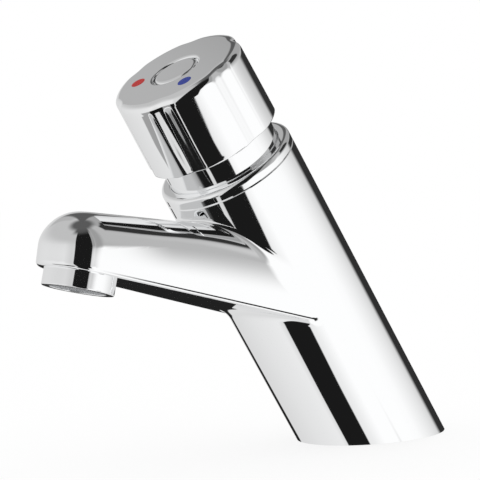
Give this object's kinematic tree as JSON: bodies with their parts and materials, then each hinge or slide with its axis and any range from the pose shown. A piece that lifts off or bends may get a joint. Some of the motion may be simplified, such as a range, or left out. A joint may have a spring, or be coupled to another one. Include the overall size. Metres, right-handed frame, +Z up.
{
  "type": "push timed tap",
  "caption": "Self-closing basin mixer tap with a leaning round body, a short flat-bottomed spout, and a fluted knob that is pushed to run water and turned for temperature.",
  "frame": {"origin": "where the leaning body's axis meets the flat base, at the centre of the round base recess", "axes": "+Z up off the deck, -X towards the spout, +Y towards the red (hot) side"},
  "size_m": [0.1717, 0.05, 0.1496],
  "materials": {
    "body_chrome": "polished",
    "collar_chrome": "polished",
    "knob_chrome": "polished",
    "cap_chrome": "polished",
    "aerator_chrome": "polished",
    "hot_mark": "gloss enamel",
    "cold_mark": "gloss enamel",
    "aerator_plastic": "moulded",
    "cartridge_brass": "machined",
    "cartridge_plastic": "moulded",
    "disc_ceramic": "lapped",
    "seal_rubber": "moulded",
    "steel": "bright"
  },
  "bodies": {
    "body": {"tap_body": "body_chrome", "collar_ring": "collar_chrome", "skirt_seal": "seal_rubber", "cartridge_head": "cartridge_brass", "head_seal": "seal_rubber", "gland_nut": "cartridge_brass", "spindle_seal": "seal_rubber", "fixed_disc": "disc_ceramic", "cartridge_base": "cartridge_plastic", "cartridge_sleeve": "cartridge_plastic", "hot_base_seal": "seal_rubber", "cold_base_seal": "seal_rubber", "hot_check_body": "cartridge_plastic", "cold_check_body": "cartridge_plastic", "hot_check_spring": "steel", "cold_check_spring": "steel", "hot_filter": "steel", "cold_filter": "steel", "aerator_ring": "aerator_chrome", "aerator_insert": "aerator_plastic", "flow_regulator": "aerator_plastic", "aerator_gasket": "seal_rubber", "base_gasket": "seal_rubber", "return_spring": "steel"},
    "mixer": {"mixing_rotor": "cartridge_plastic", "moving_disc": "disc_ceramic"},
    "knob": {"push_knob": "knob_chrome", "knob_cap": "cap_chrome", "hot_dot": "hot_mark", "cold_dot": "cold_mark", "knob_screw": "steel", "spindle": "cartridge_brass", "timing_piston": "cartridge_brass", "piston_seal": "seal_rubber", "valve_plug": "cartridge_brass", "valve_washer": "seal_rubber", "spring_washer": "steel"},
    "hot_poppet": {"hot_check_poppet": "cartridge_plastic"},
    "cold_poppet": {"cold_check_poppet": "cartridge_plastic"}
  },
  "joints": [
    {"name": "temperature", "type": "hinge", "parent": "body", "child": "mixer", "pos_m": [0, 0, 0], "axis": [-0.515, 0, 0.8572], "range_deg": [-60, 60]},
    {"name": "push", "type": "slide", "parent": "mixer", "child": "knob", "axis": [0.515, 0, -0.8572], "range_m": [0, 0.007], "stiffness_N_per_m": 2000, "springref_m": -0.008, "deforming": ["return_spring"]},
    {"name": "hot_check", "type": "slide", "parent": "body", "child": "hot_poppet", "axis": [-0.515, 0, 0.8572], "range_m": [0, 0.0015], "stiffness_N_per_m": 300, "springref_m": -0.002, "deforming": ["hot_check_spring"]},
    {"name": "cold_check", "type": "slide", "parent": "body", "child": "cold_poppet", "axis": [-0.515, 0, 0.8572], "range_m": [0, 0.0015], "stiffness_N_per_m": 300, "springref_m": -0.002, "deforming": ["cold_check_spring"]}
  ]
}
